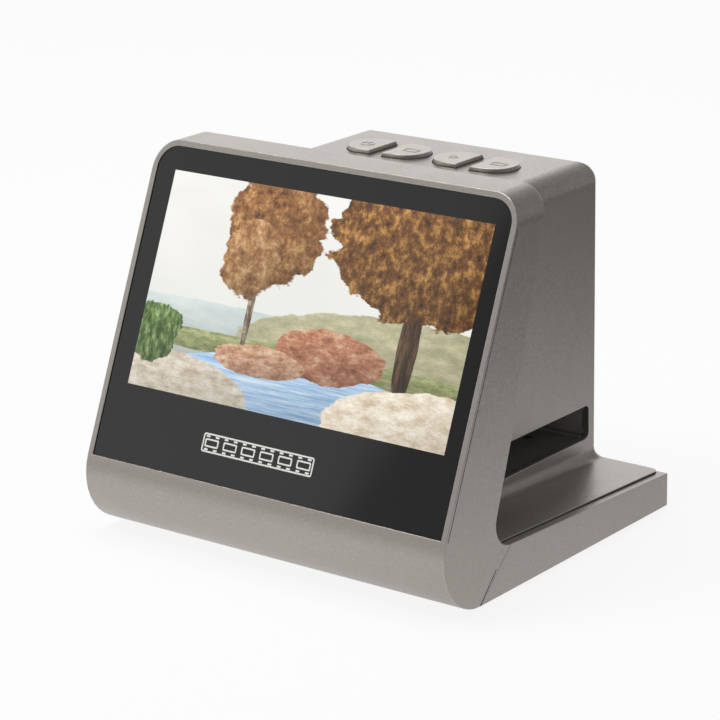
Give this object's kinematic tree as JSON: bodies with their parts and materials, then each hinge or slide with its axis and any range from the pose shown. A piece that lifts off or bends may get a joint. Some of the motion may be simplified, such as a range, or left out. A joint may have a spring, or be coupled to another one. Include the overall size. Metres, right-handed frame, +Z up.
{
  "type": "film negative scanner",
  "caption": "Desktop film scanner with a leaning display, a tower with push buttons on top, and a tunnel through the tower for a film tray.",
  "frame": {"origin": "centre of the footprint, in the plane that the feet stand on", "axes": "+X to the user's right, -Y towards the user and the display, +Z up"},
  "size_m": [0.126, 0.1116, 0.1098],
  "materials": {
    "housing_paint": "satin metallic lacquer on moulded ABS",
    "button_paint": "satin metallic lacquer on moulded ABS",
    "window_black": "clear acrylic, black on its back outside the picture",
    "display_cell": "polarised glass",
    "backlight_white": "white frame with a bright metal back",
    "steel_plate": "zinc plated",
    "adhesive_foam": "black adhesive foam",
    "foot_rubber": "matte",
    "screw_steel": "black zinc",
    "board_green": "solder mask on glass-fibre board",
    "board_blue": "solder mask on glass-fibre board",
    "chip_black": "moulded epoxy",
    "switch_steel": "tinned can",
    "plunger_black": "matte",
    "socket_steel": "tinned shell",
    "guide_black": "matte black moulding",
    "barrel_black": "black anodised",
    "lens_glass": "coated",
    "sensor_glass": "glass lid on a ceramic package",
    "detent_white": "acetal",
    "spring_steel": "spring wire",
    "diffuser_opal": "opal acrylic",
    "box_white": "white moulding",
    "lamp_amber": "white light-emitting diodes",
    "ribbon_amber": "polyimide film",
    "ribbon_white": "flat flexible cable"
  },
  "bodies": {
    "scanner": {"front_shell": "housing_paint", "rear_cover": "housing_paint", "base_pan": "housing_paint", "display_window": "window_black", "lcd_cell": "display_cell", "lcd_backlight": "backlight_white", "lcd_carrier": "steel_plate", "window_tape": "adhesive_foam", "rubber_feet": "foot_rubber", "case_screws": "screw_steel", "carrier_screws": "screw_steel", "button_board_screws": "screw_steel", "main_board_screws": "screw_steel", "guide_screws": "screw_steel", "shroud_screws": "screw_steel", "sensor_screws": "screw_steel", "button_board": "board_green", "main_board": "board_green", "lamp_board": "board_green", "sensor_board": "board_blue", "main_board_chips": "chip_black", "switch_bodies": "switch_steel", "card_socket": "socket_steel", "usb_socket": "socket_steel", "hdmi_socket": "socket_steel", "lower_guide": "guide_black", "upper_guide": "guide_black", "camera_shroud": "guide_black", "lens_holder": "guide_black", "detent_cap": "guide_black", "lens_barrel": "barrel_black", "lens_elements": "lens_glass", "image_sensor": "sensor_glass", "detent_spring": "spring_steel", "diffuser": "diffuser_opal", "light_box": "box_white", "lamps": "lamp_amber", "lcd_ribbon": "ribbon_amber", "button_ribbon": "ribbon_amber", "sensor_ribbon": "ribbon_amber", "lamp_ribbon": "ribbon_white"},
    "power_key": {"power_button": "button_paint", "power_plunger": "plunger_black"},
    "capture_key": {"capture_button": "button_paint", "capture_plunger": "plunger_black"},
    "ok_key": {"ok_button": "button_paint", "ok_plunger": "plunger_black"},
    "gallery_key": {"gallery_button": "button_paint", "gallery_plunger": "plunger_black"},
    "tray_detent": {"detent_plunger": "detent_white"}
  },
  "joints": [
    {"name": "power_press", "type": "slide", "parent": "scanner", "child": "power_key", "axis": [0, 0, -1], "range_m": [0, 0.0008], "stiffness_N_per_m": 400, "springref_m": -0.001},
    {"name": "capture_press", "type": "slide", "parent": "scanner", "child": "capture_key", "axis": [0, 0, -1], "range_m": [0, 0.0008], "stiffness_N_per_m": 400, "springref_m": -0.001},
    {"name": "ok_press", "type": "slide", "parent": "scanner", "child": "ok_key", "axis": [0, 0, -1], "range_m": [0, 0.0008], "stiffness_N_per_m": 400, "springref_m": -0.001},
    {"name": "gallery_press", "type": "slide", "parent": "scanner", "child": "gallery_key", "axis": [0, 0, -1], "range_m": [0, 0.0008], "stiffness_N_per_m": 400, "springref_m": -0.001},
    {"name": "detent_lift", "type": "slide", "parent": "scanner", "child": "tray_detent", "axis": [0, 0, 1], "range_m": [0, 0.0012], "stiffness_N_per_m": 300, "springref_m": -0.001, "deforming": ["detent_spring"]}
  ]
}
